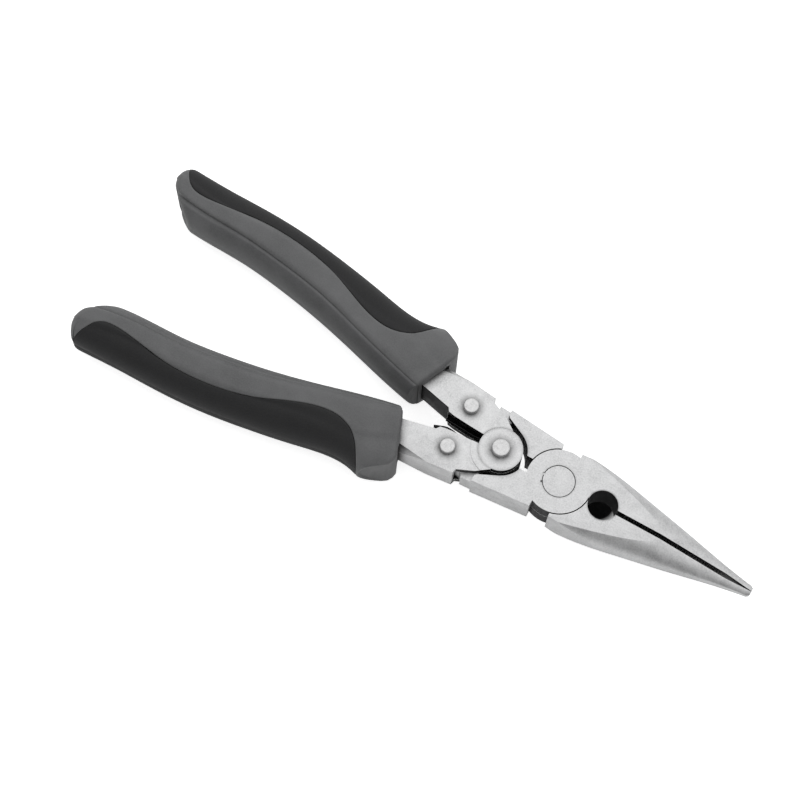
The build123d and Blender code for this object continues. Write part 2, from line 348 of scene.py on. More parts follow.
# each ring of painted shade is its centre x and y, radius, reach and amount; the punch mark's dark dot is given the
# same way
handleRings = [
    # the two link pins, the centre pin and its hub
    (-35.0, 7.6, 2.5, 2.6, 0.75), (-35.0, -7.6, 2.5, 2.6, 0.75),
    (-20.4, 0.0, 2.9, 2.8, 0.75), (-20.4, 0.0, 7.05, 0.9, 0.45),
    # wide ones along the front edges of the grips
    (-231.2, 96.7, 200.0, 4.4, 0.95), (-231.2, -96.7, 200.0, 3.6, 0.9),
]
jawRings = [
    # the rivet, the punch mark, the rod hole and the handles' hub: painted shade round all but the punch mark,
    # which is a dark dot
    (0.0, 0.0, 5.3, 0.5, 0.25), (-4.65, -2.65, 0.0, 0.55, 3.0),
    (15.3, 0.0, 4.8, 0.6, 0.5), (-20.4, 0.0, 8.4, 1.2, 0.4),
]
blastedLook = {
    "shadeAndMark": grey(0.10), "rings": jawRings,
    "dark": (0.45, 0.453, 0.457), "light": (0.67, 0.673, 0.678), "glint": grey(0.84), "speckle": 0.45,
    "scratchColour": (0.50, 0.50, 0.505), "scratches": 0.35, "roughness": (0.40, 0.50),
    "grainScale": 2000.0, "patchScale": 240.0, "grainDepth": 0.00005, "grainStrength": 0.6,
}
handleLook = dict(
    blastedLook, rings=handleRings, light=(0.69, 0.693, 0.697), grainScale=2300.0, patchScale=210.0)
# the bevels are smoother and lighter than the faces; their lighter colour is a painted highlight along the edges
highlightEdgeLook = dict(
    blastedLook, rings=[], dark=(0.72, 0.72, 0.725), light=grey(0.82), roughness=(0.26, 0.34),
    grainStrength=0.2, scratches=0.1)
jawSteel = steelFinish("satinJawSteel", blastedLook)
handleSteel = steelFinish("satinHandleSteel", handleLook)
highlightEdgeSteel = steelFinish("paintedHighlightEdge", highlightEdgeLook)
# near-black steel for walls, fork faces and teeth that lie in shadow: painted shade
shadeBlackSteel = steelFinish("shadeBlackInnerSteel", {
    "dark": (0.020, 0.020, 0.021), "light": (0.035, 0.035, 0.036), "glint": grey(0.08), "speckle": 0.2,
    "scratchColour": grey(0.12), "scratches": 0.25, "roughness": (0.45, 0.58),
    "grainScale": 1800.0, "patchScale": 200.0, "grainDepth": 0.00004, "grainStrength": 0.4,
})
pinSteel = steelFinish("brightPinSteel", {
    "dark": (0.42, 0.42, 0.423), "light": grey(0.62), "glint": grey(0.80), "speckle": 0.3,
    "scratchColour": grey(0.45), "scratches": 0.3, "roughness": (0.24, 0.36),
    "grainScale": 1500.0, "patchScale": 900.0, "grainDepth": 0.00005, "grainStrength": 0.35,
})
springSteel = steelFinish("blackSpringSteel", {
    "dark": (0.012, 0.012, 0.013), "light": (0.025, 0.025, 0.026), "glint": grey(0.06), "speckle": 0.2,
    "scratchColour": grey(0.10), "scratches": 0.3, "roughness": (0.34, 0.46),
    "grainScale": 3000.0, "patchScale": 400.0, "grainDepth": 0.00002, "grainStrength": 0.4,
})
gripBodyFinish = mouldedFinish("mattGripBody", {
    "dark": (0.092, 0.094, 0.096), "light": (0.148, 0.150, 0.153), "glint": grey(0.19), "speckle": 0.3,
    "rubHighlightColour": grey(0.24), "edgeAmount": 0.9, "scratches": 0.3, "roughness": (0.46, 0.58),
    "specular": 0.4, "sheen": 0.0,
    "grainScale": 2200.0, "patchScale": 60.0, "grainDepth": 0.00005, "grainStrength": 0.5,
})
gripInlayFinish = mouldedFinish("softDarkInlay", {
    "dark": (0.013, 0.013, 0.014), "light": (0.021, 0.021, 0.022), "glint": grey(0.045), "speckle": 0.3,
    "rubHighlightColour": grey(0.06), "edgeAmount": 0.5, "scratches": 0.1, "roughness": (0.58, 0.70),
    "specular": 0.25, "sheen": 0.03,
    "grainScale": 3200.0, "patchScale": 80.0, "grainDepth": 0.00006, "grainStrength": 0.6,
})
print("finishes ready")


steelShape = {
    "mergeGap": 0.000002,
    "flatDegrees": 0.6,
    "bevelWidth": 0.00016,
    "rivetBevel": 0.00004,
    "bevelSteps": 2,
    "bevelDegrees": 24.0,
    "sharpDegrees": 22.0,
    "holeX": 15.3,
    "holeRadius": 4.75,
    "discReach": 11.0,
    "hubX": -20.4,
    "hubReach": 9.2,
    "tailX": -10.5,
    "webX": -29.5,
    "gapStart": 19.5,
    "gapReach": 0.8,
    "facingX": -24.0,   # behind this the handles' walls that face each other are painted black for the shade they lie in
    "forkX": -42.0,
    "forkHalf": 3.96,
}


def mergedCopy(node, name):
    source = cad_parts[node].data
    work = bmesh.new()
    work.from_mesh(source)
    bmesh.ops.remove_doubles(work, verts=work.verts, dist=steelShape["mergeGap"])
    flatAngle = math.radians(steelShape["flatDegrees"])
    bmesh.ops.dissolve_limit(
        work, angle_limit=flatAngle, verts=work.verts, edges=work.edges, use_dissolve_boundaries=False)
    work.verts.index_update()
    mesh = bpy.data.meshes.new(name)
    mesh.from_pydata([v.co[:] for v in work.verts], [], [[v.index for v in f.verts] for f in work.faces])
    work.free()
    return mesh


def forgedPiece(name, node, materials, zoneOf, width):
    mesh = mergedCopy(node, name)
    piece = addPiece(name, mesh, *materials)
    for face in mesh.polygons:
        centre = (face.center - jawPivot) * 1000
        face.material_index = 2 if zoneOf(centre, face.normal) else 0
    bevel = piece.modifiers.new("softEdges", "BEVEL")
    bevel.width = width
    bevel.segments = steelShape["bevelSteps"]
    bevel.limit_method = "ANGLE"
    bevel.angle_limit = math.radians(steelShape["bevelDegrees"])
    # the bevels take the second finish, whose lighter colour is a painted highlight
    bevel.material = 1
    bevel.harden_normals = False
    bevel.use_clamp_overlap = True
    settle(piece)
    smoothFaces(piece.data, steelShape["sharpDegrees"])
    return piece


def blackInJaw(centre, normal):
    # the walls of the hole, of the gap, round the disc and round the hub, painted near-black as shade
    shape = steelShape
    wall = abs(normal.z) < 0.5
    inHole = math.hypot(centre.x - shape["holeX"], centre.y) < shape["holeRadius"] + 0.1
    inGap = centre.x > shape["gapStart"] and abs(centre.y) < shape["gapReach"] and abs(normal.y) > 0.6
    roundDisc = math.hypot(centre.x, centre.y) < shape["discReach"]
    roundHub = math.hypot(centre.x - shape["hubX"], centre.y) < shape["hubReach"]
    insideTail = centre.x < shape["tailX"] and normal.y * centre.y < 0
    return wall and (inHole or inGap or roundDisc or roundHub or insideTail)


def blackInHandle(centre, normal):
    # the walls that face the other handle, the hub's wall and everything inside the fork, painted near-black as
    # shade
    shape = steelShape
    wall = abs(normal.z) < 0.4
    facesIn = wall and normal.y * centre.y < 0 and centre.x < shape["facingX"]
    atHub = wall and centre.x > shape["webX"]
    inFork = abs(centre.z) < shape["forkHalf"] and centre.x > shape["forkX"] and abs(normal.z) > 0.5
    return facesIn or atHub or inFork


def blackNowhere(centre, normal):
    return False


def makeSteel():
    jaw, handle = [jawSteel, highlightEdgeSteel, shadeBlackSteel], [handleSteel, highlightEdgeSteel, shadeBlackSteel]
    soft, fine = steelShape["bevelWidth"], steelShape["rivetBevel"]
    for name, node, body, slotName, materials, zoneOf, width in (
        ("frontJaw", "jaw_front", "front_jaw", "jaw_steel", jaw, blackInJaw, soft),
        ("rearJaw", "jaw_rear", "rear_jaw", "jaw_steel", jaw, blackInJaw, soft),
        ("jawRivet", "jaw_rivet", "front_jaw", "jaw_steel", jaw, blackNowhere, fine),
        ("upperHandle", "handle_upper", "upper_handle", "handle_steel", handle, blackInHandle, soft),
        ("lowerHandle", "handle_lower", "lower_handle", "handle_steel", handle, blackInHandle, soft),
    ):
        finishPiece(forgedPiece(name, node, materials, zoneOf, width), body, slotName, node)


makeSteel()


gripShape = {
    # x, inner wall at mid height, inner ridge, outer shoulder, outer wall at mid height
    "sections": [
        (-162.0, 21.5, 25.5, 31.5, 35.2), (-151.0, 18.4, 22.6, 29.6, 34.9), (-140.0, 17.2, 21.2, 27.6, 34.7),
        (-125.0, 16.7, 20.5, 28.0, 34.4), (-110.0, 14.9, 18.7, 27.4, 33.4), (-94.0, 11.9, 15.8, 24.6, 31.2),
        (-78.0, 8.0, 11.1, 20.4, 28.3), (-67.0, 5.0, 7.9, 19.4, 26.0), (-60.0, 3.3, 6.0, 18.9, 26.2),
        (-52.0, 1.8, 4.0, 15.6, 29.3), (-43.0, 0.9, 2.6, 12.0, 31.9),
    ],
    "crestTop": 10.5,
    "ridgeZ": 8.9,
    "shoulderZ": 9.1,
    "flatFrom": 9.55,
    "halfThickness": 10.0,
    "innerBulge": (0.22, 5.2),
    "outerBulge": (0.74, 6.6),
    # end lines as y, x, with how far their corners are rounded
    "frontLine": [
        (-9.0, -54.8), (1.7, -54.8), (3.9, -52.5), (19.3, -46.4), (22.6, -47.4), (28.4, -56.4), (36.0, -60.0),
    ],
    "backLine": [
        (-9.0, -137.0), (13.0, -144.0), (18.0, -150.6), (22.0, -155.2), (26.5, -157.9), (31.5, -158.5),
        (36.0, -157.4), (48.0, -155.0),
    ],
    "frontBlur": 0.9,
    "backBlur": 2.0,
    "endTrim": {"upper": 2.8, "lower": 0.7},
    "frontRound": 1.3,
    "backRound": 3.0,
    "roundSteps": 9,
    "stations": 150,
    "spanSteps": (60, 90, 110),   # points of a station on its inner wall, crest and outer side
    "laying": (60, 0.6),          # rounds, and the share of the gap closed in each
    "tangentStep": 0.25,
    "seam": [
        (-153.9, 33.6), (-150.4, 28.4), (-145.6, 26.1), (-138.0, 26.5), (-125.4, 28.1), (-116.0, 28.2),
        (-103.0, 26.6), (-94.0, 24.2), (-82.7, 19.4), (-75.5, 17.0), (-70.0, 16.4), (-64.8, 17.6),
        (-60.0, 21.4), (-56.2, 27.6),
    ],
    "seamFrom": 100,              # the seam is looked for from this point of a station on
    "ridgeGroove": (0.75, 0.38),  # half width, depth
    "grooveWidens": (-108.0, -146.0, 1.9),   # where it starts, where it ends, how many times wider
    "seamRound": (0.55, 0.22),    # width, depth of the rounded lip each side of the seam
    "seamGap": 0.10,
    "leastOpen": 0.5,             # the inlay is left out where its opening is narrower
    "pocketDepth": 2.4,
    "pocketShare": 0.6,
    "inlayPlay": 0.02,
    "wallSteps": 12,
    "crestSteps": 16,
    "inlaySteps": 16,
    "mergeGap": 0.004,
    "sharpDegrees": 38.0,
    "rubHighlightReach": 0.6,
}


def smoothThrough(knots, values, at):
    # natural cubic through the knots, run on in a straight line past both ends
    knots, values, at = (np.asarray(item, float) for item in (knots, values, at))
    count, step = len(knots), np.diff(knots)
    matrix, right = np.eye(count), np.zeros(count)
    for i in range(1, count - 1):
        matrix[i, i - 1:i + 2] = step[i - 1], 2 * (step[i - 1] + step[i]), step[i]
        right[i] = 6 * ((values[i + 1] - values[i]) / step[i] - (values[i] - values[i - 1]) / step[i - 1])
    bend = np.linalg.solve(matrix, right)
    inside = np.clip(at, knots[0], knots[-1])
    k = np.clip(np.searchsorted(knots, inside, side="right") - 1, 0, count - 2)
    h, a, b = step[k], knots[k + 1] - inside, inside - knots[k]
    result = (bend[k] * a ** 3 + bend[k + 1] * b ** 3) / (6 * h)
    result += (values[k] / h - bend[k] * h / 6) * a + (values[k + 1] / h - bend[k + 1] * h / 6) * b
    startSlope = (values[1] - values[0]) / step[0] - step[0] * bend[1] / 6
    endSlope = (values[-1] - values[-2]) / step[-1] + step[-1] * bend[-2] / 6
    result += np.where(at < knots[0], (at - knots[0]) * startSlope, 0)
    return result + np.where(at > knots[-1], (at - knots[-1]) * endSlope, 0)


def softLine(points, at, blur):
    # a line through corner points, with each corner rounded by averaging over blur
    table = np.array(points)
    offsets = np.linspace(-blur, blur, 9)
    return np.mean([np.interp(at + o, table[:, 0], table[:, 1]) for o in offsets], axis=0)


def arcPoint(p, q, r, share):
    # the point at that share of the arc that goes from p through q to r
    (ax, ay), (bx, by), (cx, cy) = p, q, r
    a, b, c = ax ** 2 + ay ** 2, bx ** 2 + by ** 2, cx ** 2 + cy ** 2
    d = 2 * (ax * (by - cy) + bx * (cy - ay) + cx * (ay - by))
    ux = (a * (by - cy) + b * (cy - ay) + c * (ay - by)) / d
    uy = (a * (cx - bx) + b * (ax - cx) + c * (bx - ax)) / d
    first, last = np.arctan2(ay - uy, ax - ux), np.arctan2(cy - uy, cx - ux)
    turn = (last - first + math.pi) % (2 * math.pi) - math.pi
    radius = np.hypot(ax - ux, ay - uy)
    return ux + radius * np.cos(first + turn * share), uy + radius * np.sin(first + turn * share)


def gripRows(x):
    table = np.array(gripShape["sections"])
    return [smoothThrough(table[:, 0], table[:, column], x) for column in range(1, 5)]


def gripProfile(x, span):
    # span 0 to 1 is the inner wall, 1 to 2 the crest, 2 to 3 the outer side
    inner, ridge, shoulder, outer = gripRows(x)
    zero, one = np.zeros_like(inner), np.ones_like(inner)
    bulgeIn, bulgeOut = gripShape["innerBulge"], gripShape["outerBulge"]
    low, end = (inner, zero), (outer, zero)
    lowBulge = (inner + bulgeIn[0] * (ridge - inner), one * bulgeIn[1])
    ridgePoint = (ridge, one * gripShape["ridgeZ"])
    crestPoint = ((ridge + shoulder) / 2, one * gripShape["crestTop"])
    shoulderPoint = (shoulder, one * gripShape["shoulderZ"])
    outBulge = (shoulder + bulgeOut[0] * (outer - shoulder), one * bulgeOut[1])
    wall = arcPoint(low, lowBulge, ridgePoint, np.clip(span, 0, 1))
    crest = arcPoint(ridgePoint, crestPoint, shoulderPoint, np.clip(span - 1, 0, 1))
    side = arcPoint(shoulderPoint, outBulge, end, np.clip(span - 2, 0, 1))
    y = np.where(span < 1, wall[0], np.where(span < 2, crest[0], side[0]))
    z = np.where(span < 1, wall[1], np.where(span < 2, crest[1], side[1]))
    flat, top = gripShape["flatFrom"], gripShape["halfThickness"]
    z = np.where(z > flat, flat + (top - flat) * np.tanh((z - flat) / (top - flat)), z)
    return y, z


def stationLines():
    # each station is a rule that gives x from y, with how far it is drawn in to round the end
    steps = gripShape["roundSteps"]
    angles = np.linspace(0, math.pi / 2, steps)
    back, front = gripShape["backRound"], gripShape["frontRound"]
    lines = [("back", back * (1 - math.cos(a)), back * (1 - math.sin(a))) for a in angles]
    lines += [("middle", f, 0.0) for f in np.linspace(0, 1, gripShape["stations"])[1:-1]]
    return lines + [("front", front * (1 - math.cos(a)), front * (1 - math.sin(a))) for a in angles[::-1]]


def stationX(line, y, trim):
    kind, value, _ = line
    backX = softLine(gripShape["backLine"], y, gripShape["backBlur"]) + trim
    frontX = softLine(gripShape["frontLine"], y, gripShape["frontBlur"])
    if kind == "back":
        return backX + value
    if kind == "front":
        return frontX - value
    return (backX + gripShape["backRound"]) * (1 - value) + (frontX - gripShape["frontRound"]) * value


def denseStation(line, trim):
    # the half outline of one station from the inner to the outer mid line
    wall, crest, side = gripShape["spanSteps"]
    span = np.concatenate([
        np.linspace(0, 1, wall, endpoint=False), np.linspace(1, 2, crest, endpoint=False), np.linspace(2, 3, side)])
    middleY, (rounds, share) = 20.0, gripShape["laying"]
    x = stationX(line, np.full_like(span, middleY), trim)
    for _ in range(rounds):
        y, z = gripProfile(x, span)
        x = x + share * (stationX(line, y, trim) - x)
    return span, np.stack([x, y, z], axis=1)


def along(points):
    return np.concatenate([[0], np.cumsum(np.linalg.norm(np.diff(points, axis=0), axis=1))])


def pick(length, points, at):
    return np.stack([np.interp(at, length, points[:, k]) for k in range(3)], axis=1)


def spread(start, end, startCluster, endCluster, count):
    # distances from start to end, with a few small steps at each end that shrink where there is little room
    total, crowding = end - start, 2.6
    share = min(1.0, total / (crowding * (startCluster[-1] + endCluster[-1]) + 1e-9)) if total > 0 else 0.0
    head = [start + c * share for c in startCluster]
    tail = [end - c * share for c in reversed(endCluster)]
    low, high = (head[-1] if head else start), (tail[0] if tail else end)
    middle = list(np.linspace(low, high, count + 2)[1:-1])
    return np.array(head + middle + tail)


def seamCrossing(points):
    # where the station's outline first passes the seam line, counted in points
    seamTable = np.array(gripShape["seam"])
    gap = points[:, 1] - smoothThrough(seamTable[:, 0], seamTable[:, 1], points[:, 0])
    inside = points[:, 0] < seamTable[-1, 0]
    beyond = (gap > 0) & inside
    beyond[:gripShape["seamFrom"]] = False
    if not beyond.any():
        return None
    k = int(np.argmax(beyond))
    share = np.clip(-gap[k - 1] / (gap[k] - gap[k - 1] + 1e-9), 0, 1) if inside[k - 1] else 0.5
    return k - 1 + share


# small steps beside the ridge, beside the seam on the body and beside it on the inlay
ridgeCluster = [0.0, 0.16, 0.34, 0.55, 0.85, 1.3]
seamCluster = [0.0, 0.10, 0.22, 0.38, 0.60, 1.0]
inlayCluster = [0.0, 0.08, 0.2, 0.38, 0.62, 1.0]


def layStation(line, trim):
    span, dense = denseStation(line, trim)
    length = along(dense)
    ridgeAt = np.interp(1.0, span, length)
    endAt = length[-1]
    crossing = seamCrossing(dense)
    seamAt = endAt if crossing is None else float(np.interp(crossing, np.arange(len(length)), length))
    shape = gripShape
    at = np.concatenate([
        spread(0.0, ridgeAt, [0.0], ridgeCluster, shape["wallSteps"])[:-1],
        spread(ridgeAt, seamAt, ridgeCluster, seamCluster, shape["crestSteps"]),
        spread(seamAt, endAt, seamCluster, [0.0], shape["inlaySteps"]),
    ])
    return {
        "length": length, "dense": dense, "at": at, "ridgeAt": ridgeAt, "seamAt": seamAt, "endAt": endAt,
        "inset": line[2], "open": endAt - seamAt,
    }


def lipDepth(station, away):
    # the lips at the seam are rounded, less so where the seam closes
    width, depth = gripShape["seamRound"]
    fade = min(1.0, station["open"] / 2.0)
    return depth * fade * np.clip(1 - away / width, 0, 1) ** 2


def pocketDepth(station):
    return min(gripShape["pocketDepth"], gripShape["pocketShare"] * station["open"])


def carvedDepth(station, at):
    start, end, wider = gripShape["grooveWidens"]
    ridgeX = station["dense"][gripShape["spanSteps"][0], 0]
    growth = 1 + (wider - 1) * float(np.clip((ridgeX - start) / (end - start), 0, 1))
    width, depth = (item * growth for item in gripShape["ridgeGroove"])
    groove = depth * np.clip(1 - np.abs(at - station["ridgeAt"]) / width, 0, 1) ** 1.3
    return groove + lipDepth(station, np.abs(at - station["seamAt"]))


def ringOf(half):
    # a half outline and its mirror image below make one closed ring
    lower = half[-2:0:-1].copy()
    lower[:, 2] *= -1
    return np.concatenate([half, lower])


def bodyHalf(station):
    at = station["at"]
    bodyCount = len(at) - (gripShape["inlaySteps"] + len(seamCluster) + 1)
    inPocket = np.arange(len(at)) > bodyCount
    depth = carvedDepth(station, at) + station["inset"] + np.where(inPocket, pocketDepth(station), 0.0)
    return shiftAcross(station, pick(station["length"], station["dense"], at), at, depth)


def shiftAcross(station, points, at, depth):
    step, endAt = gripShape["tangentStep"], station["endAt"]
    low = pick(station["length"], station["dense"], np.clip(at - step, 0, endAt))
    high = pick(station["length"], station["dense"], np.clip(at + step, 0, endAt))
    # the profile goes on as its mirror image past both mid lines
    low[:, 2] = np.where(at < step, -high[:, 2], low[:, 2])
    high[:, 2] = np.where(at > endAt - step, -low[:, 2], high[:, 2])
    tangent = (high - low)[:, 1:]
    normal = np.stack([tangent[:, 1], -tangent[:, 0]], axis=1)
    normal /= np.linalg.norm(normal, axis=1, keepdims=True) + 1e-9
    moved = points.copy()
    moved[:, 1:] += normal * depth[:, None]
    moved[0, 2], moved[-1, 2] = 0.0, 0.0
    return moved


def loftRings(rings, name):
    # a skin over the rings, with each end closed from its upper half to its lower half
    count = len(rings[0])
    faces = ringFaces(len(rings), count)
    for base, flip in ((0, False), ((len(rings) - 1) * count, True)):
        for j in range(count // 2):
            quad = [base + j, base + (count - j) % count, base + (count - j - 1) % count, base + j + 1]
            quad = list(dict.fromkeys(quad))
            if len(quad) > 2:
                faces.append(tuple(reversed(quad)) if flip else tuple(quad))
    return buildMesh(name, np.concatenate(rings).tolist(), faces, gripShape["mergeGap"])


def inlayHalfPair(station):
    # the soft inlay's outer skin and its inner face, from the seam to the mid line
    start = station["seamAt"] + gripShape["seamGap"]
    outerAt = spread(start, station["endAt"], inlayCluster, [0.0], gripShape["inlaySteps"])
    outer = pick(station["length"], station["dense"], outerAt)
    outerSkin = shiftAcross(station, outer, outerAt, lipDepth(station, outerAt - start) + station["inset"])
    deep = np.full(len(outerAt), pocketDepth(station) - gripShape["inlayPlay"])
    return outerSkin, shiftAcross(station, outer, outerAt, deep + station["inset"])


def inlayMesh(stations, name):
    rings = []
    for station in stations:
        skin, inside = inlayHalfPair(station)
        skinLow, insideLow = skin[-2::-1].copy(), inside[::-1].copy()
        skinLow[:, 2] *= -1
        insideLow[:, 2] *= -1
        rings.append(np.concatenate([skin, skinLow, insideLow, inside[-2::-1]]))
    count = len(rings[0])
    faces = ringFaces(len(rings), count)
    # each end is closed between its skin and its inner face
    for base, flip in ((0, False), ((len(rings) - 1) * count, True)):
        for j in range(2 * len(skin) - 2):
            quad = [base + j, base + count - 1 - j, base + count - 2 - j, base + j + 1]
            faces.append(tuple(reversed(quad)) if flip else tuple(quad))
    return buildMesh(name, np.concatenate(rings).tolist(), faces, gripShape["mergeGap"])


steelPocket = {
    "plate": [(-61.0, 8.3), (-41.0, 4.0), (-38.0, 3.2), (-38.0, 15.1), (-48.0, 16.1), (-61.0, 17.4)],
    "plateHalf": 6.2,
    "tang": [
        (-59.0, 8.9), (-75.0, 13.4), (-95.0, 19.6), (-120.0, 23.4), (-146.0, 24.6), (-146.0, 29.0), (-119.0, 29.6),
        (-95.0, 26.6), (-75.0, 21.0), (-59.0, 16.4),
    ],
    "tangHalf": 4.0,
    "play": 0.28,
    "tangPlay": 0.03,
}


def pocketTool(points, half, play, name):
    # the tang's outline grown by the play on every side
    table = np.array(points)
    centre = table.mean(axis=0)
    edges = np.roll(table, -1, axis=0) - table
    normals = np.stack([edges[:, 1], -edges[:, 0]], axis=1)
    normals /= np.linalg.norm(normals, axis=1, keepdims=True)
    outward = np.sign(np.sum((table + edges / 2 - centre) * normals, axis=1)).sum()
    corner = normals + np.roll(normals, 1, axis=0)
    corner /= (np.sum(corner * normals, axis=1) + 1e-9)[:, None]
    grown = table + corner * play * np.sign(outward)
    return addPiece(name, prismMesh(name, grown, -half - play, half + play))


def cutAway(piece, tool):
    cut = piece.modifiers.new("pocket", "BOOLEAN")
    cut.operation = "DIFFERENCE"
    cut.solver = "EXACT"
    cut.object = tool
    settle(piece)
    bpy.data.objects.remove(tool)


def paintRubHighlight(mesh, reach):
    # marks rubbed edges for wear and a painted highlight: where the skin turns away outwards, more than its
    # surroundings
    work = bmesh.new()
    work.from_mesh(mesh)
    values = []
    leastLength = 0.15
    for vert in work.verts:
        edges = [edge for edge in vert.link_edges if len(edge.link_faces) == 2]
        bend = sum(edge.calc_face_angle_signed(0.0) for edge in edges) / max(1, len(edges))
        size = max(leastLength, sum(edge.calc_length() for edge in edges) / max(1, len(edges)))
        values.append(min(1.0, max(0.0, bend / size * reach)))
    work.free()
    attribute = mesh.attributes.new("rubHighlight", "FLOAT", "POINT")
    attribute.data.foreach_set("value", np.array(values, dtype=np.float32))


def makeGrips():
    pocket = steelPocket
    for side, turn in (("upper", Matrix.Identity(4)), ("lower", turnOver)):
        stations = [layStation(line, gripShape["endTrim"][side]) for line in stationLines()]
        inlaid = [station for station in stations if station["open"] >= gripShape["leastOpen"]]
        print(side, "grip stations laid:", len(stations), "with inlay on", len(inlaid))
        bodyName, inlayName = side + "GripBody", side + "GripInlay"
        body = addPiece(bodyName, loftRings([ringOf(bodyHalf(station)) for station in stations], bodyName))
        cutAway(body, pocketTool(pocket["plate"], pocket["plateHalf"], pocket["play"], "plateTool"))
        cutAway(body, pocketTool(pocket["tang"], pocket["tangHalf"], pocket["tangPlay"], "tangTool"))
        inlay = addPiece(inlayName, inlayMesh(inlaid, inlayName))
        for piece, finish, slotName, node in (
            (body, gripBodyFinish, "grip_plastic", "grip_"), (inlay, gripInlayFinish, "grip_rubber", "grip_inlay_"),
        ):
            paintRubHighlight(piece.data, gripShape["rubHighlightReach"])
            smoothFaces(piece.data, gripShape["sharpDegrees"])
            piece.data.transform(toFrame @ turn)
            piece.data.materials.clear()
            piece.data.materials.append(finish)
            finishPiece(piece, side + "_handle", slotName, node + side)


makeGrips()


pinShape = {
    "link": {
        "x": -35.0, "y": 7.6, "shank": 2.0, "head": 2.45,
        "seat": 6.2, "height": 1.8, "rear": -6.2, "rearHeight": 0.9,
    },
    "centre": {
        "x": -20.4, "y": 0.0, "shank": 2.4, "head": 2.85,
        "seat": 6.45, "height": 2.0, "rear": -6.55, "rearHeight": 0.9,
    },
    "chamfer": 0.34,
    "chamferTurn": 0.8,
    "seatSoft": 0.06,
    "domeRise": 0.07,
    "around": 72,
    "peenFrom": 0.5,   # above the seat
    "peenDepth": 0.035,
    "peenScale": (1.3, 1.3, 0.6),
    "mergeGap": 0.0005,
    "sharpDegrees": 34.0,
}


def headProfile(radius, base, height, up):
    # radius and z pairs from the seat over a chamfered, slightly domed face; up is 1, or -1 for a head below
    chamfer, rise, soft = pinShape["chamfer"], pinShape["domeRise"], pinShape["seatSoft"]
    top = base + up * height
    shoulder = top - up * (chamfer + rise)
    pairs = [(radius - soft, base), (radius, base + up * soft), (radius, shoulder)]
    for k in range(1, 4):
        angle = k / 3 * math.pi / 2 * pinShape["chamferTurn"]
        pairs.append((radius - chamfer + chamfer * math.cos(angle), shoulder + up * chamfer * math.sin(angle)))
    lastRadius, lastZ = pairs[-1]
    for k in range(1, 9):
        share = k / 8
        pairs.append((lastRadius * (1 - share), lastZ + (top - lastZ) * math.sin(share * math.pi / 2)))
    return pairs


def lathe(profile, x, y, name, peenFrom=math.inf):
    # turns radius and z pairs round x, y; faces further out than peenFrom keep soft dents
    around = pinShape["around"]
    scaleX, scaleY, scaleZ = pinShape["peenScale"]
    verts = []
    for radius, z in profile:
        for k in range(around):
            angle = 2 * math.pi * k / around
            verts.append([x + radius * math.cos(angle), y + radius * math.sin(angle), z])
    for vert in verts:
        if abs(vert[2]) > peenFrom:
            dent = noise.noise(Vector((vert[0] * scaleX, vert[1] * scaleY, vert[2] * scaleZ)))
            vert[2] -= math.copysign(abs(dent) * pinShape["peenDepth"], vert[2])
    mesh = buildMesh(name, verts, ringFaces(len(profile), around), pinShape["mergeGap"])
    smoothFaces(mesh, pinShape["sharpDegrees"])
    mesh.transform(toFrame)
    return mesh


def makePin(name, spec, y, body, node):
    rearHead = headProfile(spec["head"], spec["rear"], spec["rearHeight"], -1)
    frontHead = headProfile(spec["head"], spec["seat"], spec["height"], 1)
    profile = rearHead[::-1] + [(spec["shank"], spec["rear"]), (spec["shank"], spec["seat"])] + frontHead
    mesh = lathe(profile, spec["x"], y, name, spec["seat"] + pinShape["peenFrom"])
    finishPiece(addPiece(name, mesh, pinSteel), body, "pin_steel", node)


def makePins():
    link, centre = pinShape["link"], pinShape["centre"]
    makePin("upperLinkPin", link, link["y"], "upper_handle", "link_pin_upper")
    makePin("lowerLinkPin", link, -link["y"], "lower_handle", "link_pin_lower")
    makePin("centrePin", centre, centre["y"], "lower_handle", "centre_pin")


makePins()


springShape = {
    "wire": 0.55,
    "coil": 3.6,
    "pitch": 1.25,
    "legAngle": 105.0,
    "bend": (-29.3, 1.3),
    "upperEnd": (-40.4, 1.9),
    "lowerKnee": (-38.9, 0.15),
    "lowerEnd": (-43.0, -1.5),
    "bendRound": 1.6,
    "roundSteps": 5,
    "coilSteps": 96,
    "around": 14,
    "blendHalf": 0.44,   # a height above and below the coil's middle
    "mergeGap": 0.001,
    "sharpDegrees": 40.0,
}


def springPath():
    shape, centreX = springShape, pinShape["centre"]["x"]
    turns = 1 + 2 * shape["legAngle"] / 360
    topZ = turns * shape["pitch"] / 2
    start = math.radians(-shape["legAngle"])
    coil = []
    for k in range(shape["coilSteps"] + 1):
        share = k / shape["coilSteps"]
        angle = start + share * turns * 2 * math.pi
        x, y = centreX + shape["coil"] * math.cos(angle), shape["coil"] * math.sin(angle)
        coil.append(Vector((x, y, -topZ + 2 * topZ * share)))

    def leg(z, leave, corners):
        # a straight run through the corners, each one rounded
        places = [leave] + [Vector((x, y, z)) for x, y in corners]
        points, steps = [], shape["roundSteps"]
        for back, bend, on in zip(places, places[1:], places[2:]):
            before = bend + (back - bend).normalized() * shape["bendRound"]
            after = bend + (on - bend).normalized() * shape["bendRound"]
            for t in (k / steps for k in range(steps + 1)):
                points.append(before.lerp(bend, t).lerp(bend.lerp(after, t), t))
        return points + [places[-1]]

    bendX, bendY = shape["bend"]
    lower = leg(-topZ, coil[0], [(bendX, -bendY), shape["lowerKnee"], shape["lowerEnd"]])
    upper = leg(topZ, coil[-1], [(bendX, bendY), shape["upperEnd"]])
    return lower[::-1] + coil + upper


